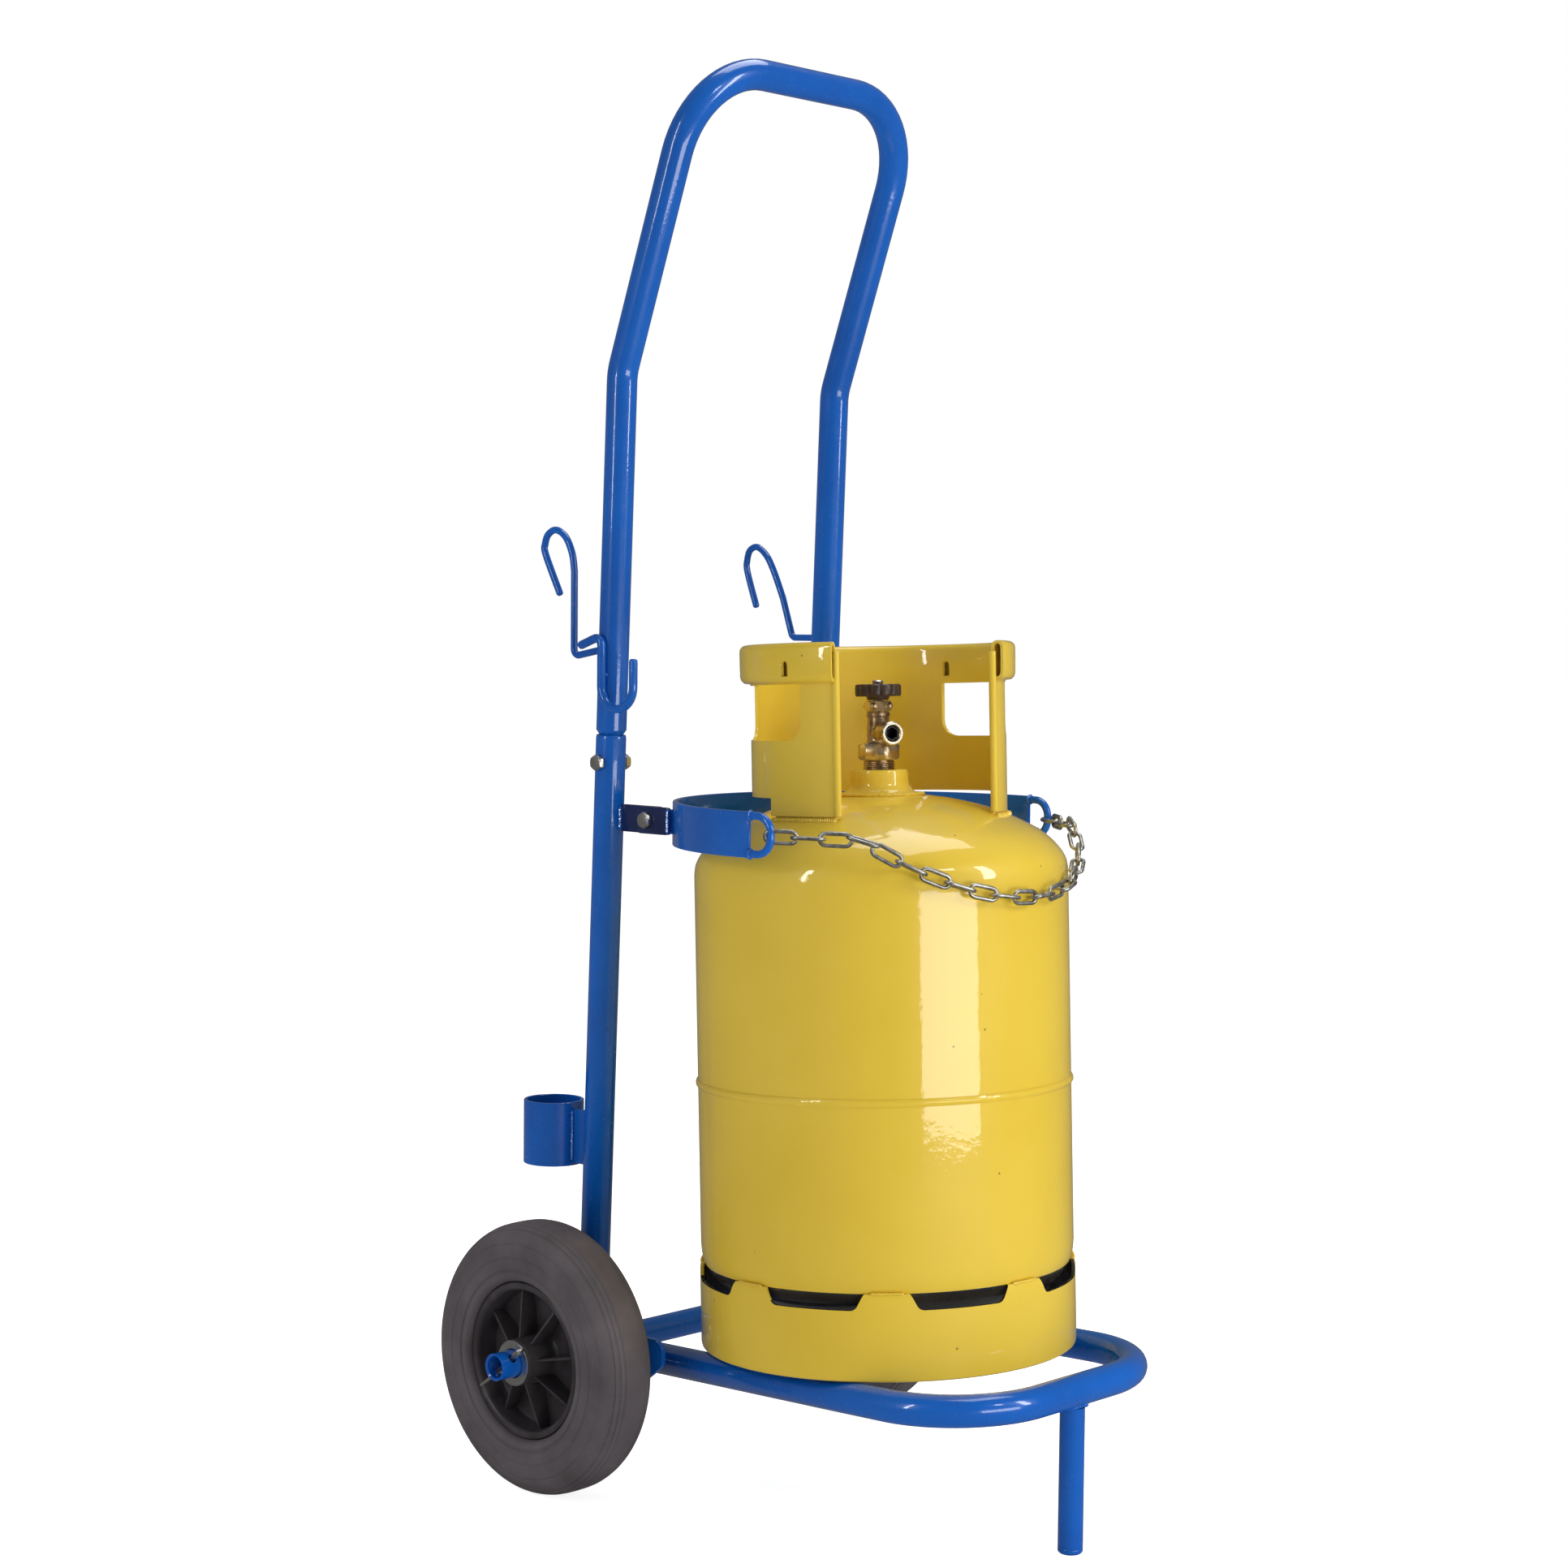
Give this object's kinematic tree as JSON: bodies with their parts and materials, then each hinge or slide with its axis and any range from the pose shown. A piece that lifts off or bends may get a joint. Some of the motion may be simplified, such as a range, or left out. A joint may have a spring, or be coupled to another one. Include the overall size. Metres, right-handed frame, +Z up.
{
  "type": "gas cylinder trolley",
  "caption": "Bent-tube hand trolley on solid-rubber wheels with a base loop, half-ring, chain and hooks, carrying an upright steel gas cylinder with valve and collar.",
  "frame": {"origin": "centre of the footprint's bounding box, on the floor", "axes": "+Z up; -Y is the load side, where the base loop reaches forward; the wheels' axle runs along X"},
  "size_m": [0.532, 0.596, 1.311],
  "materials": {
    "blue_enamel": "gloss blue powder coat on steel tube and flat bar",
    "cylinder_enamel": "yellow enamel, semi-gloss with orange peel",
    "tyre_rubber": "matt solid rubber",
    "rim_plastic": "black moulded polypropylene",
    "zinc_fasteners": "bright zinc plate",
    "zinc_chain": "zinc-plated welded chain",
    "valve_brass": "aged forged brass",
    "handwheel_plastic": "dark brown moulded plastic"
  },
  "bodies": {
    "frame": {"axle_tube": "blue_enamel", "base_loop": "blue_enamel", "cylinder_ring": "blue_enamel", "front_leg": "blue_enamel", "handle": "blue_enamel", "left_axle_plate": "blue_enamel", "left_chain_staple": "blue_enamel", "left_handle_bolt": "zinc_fasteners", "left_handle_nut": "zinc_fasteners", "left_hose_hook": "blue_enamel", "left_inner_washer": "zinc_fasteners", "left_loop_bolt_1": "zinc_fasteners", "left_loop_bolt_2": "zinc_fasteners", "left_loop_nut_1": "zinc_fasteners", "left_loop_nut_2": "zinc_fasteners", "left_outer_washer": "zinc_fasteners", "left_ring_bolt": "zinc_fasteners", "left_ring_nut": "zinc_fasteners", "left_ring_tab": "blue_enamel", "left_split_pin": "zinc_fasteners", "left_upright": "blue_enamel", "left_upright_tab": "blue_enamel", "right_axle_plate": "blue_enamel", "right_chain_staple": "blue_enamel", "right_handle_bolt": "zinc_fasteners", "right_handle_nut": "zinc_fasteners", "right_hose_hook": "blue_enamel", "right_inner_washer": "zinc_fasteners", "right_loop_bolt_1": "zinc_fasteners", "right_loop_bolt_2": "zinc_fasteners", "right_loop_nut_1": "zinc_fasteners", "right_loop_nut_2": "zinc_fasteners", "right_outer_washer": "zinc_fasteners", "right_ring_bolt": "zinc_fasteners", "right_ring_nut": "zinc_fasteners", "right_ring_tab": "blue_enamel", "right_split_pin": "zinc_fasteners", "right_upright": "blue_enamel", "right_upright_tab": "blue_enamel", "rod_holder": "blue_enamel", "rod_holder_plate": "blue_enamel", "securing_chain": "zinc_chain", "torch_hook": "blue_enamel"},
    "left_wheel": {"left_tyre": "tyre_rubber", "left_rim": "rim_plastic"},
    "right_wheel": {"right_tyre": "tyre_rubber", "right_rim": "rim_plastic"},
    "cylinder": {"upper_shell": "cylinder_enamel", "lower_shell": "cylinder_enamel", "girth_weld": "cylinder_enamel", "foot_ring": "cylinder_enamel", "collar": "cylinder_enamel", "neck_boss": "cylinder_enamel", "valve_body": "valve_brass", "packing_nut": "valve_brass"},
    "handwheel": {"handwheel": "handwheel_plastic", "valve_spindle": "zinc_fasteners"},
    "chain_tail": {"chain_tail": "zinc_chain"}
  },
  "joints": [
    {"name": "left_wheel_spin", "type": "hinge", "parent": "frame", "child": "left_wheel", "pos_m": [-0.206, 0.173, 0.125], "axis": [1, 0, 0], "continuous": true},
    {"name": "right_wheel_spin", "type": "hinge", "parent": "frame", "child": "right_wheel", "pos_m": [0.206, 0.173, 0.125], "axis": [1, 0, 0], "continuous": true},
    {"name": "cylinder_lift", "type": "slide", "parent": "frame", "child": "cylinder", "axis": [0, 0.0385, 0.9993], "range_m": [0, 0.3]},
    {"name": "handwheel_turn", "type": "hinge", "parent": "cylinder", "child": "handwheel", "pos_m": [0, -0.04617, 0.74169], "axis": [0, 0.0385, 0.9993], "range_deg": [0, 720]},
    {"name": "chain_tail_swing", "type": "hinge", "parent": "frame", "child": "chain_tail", "pos_m": [0.19041, -0.08034, 0.6035], "axis": [-0.0698, -0.9976, 0], "range_deg": [-8, 75]}
  ]
}
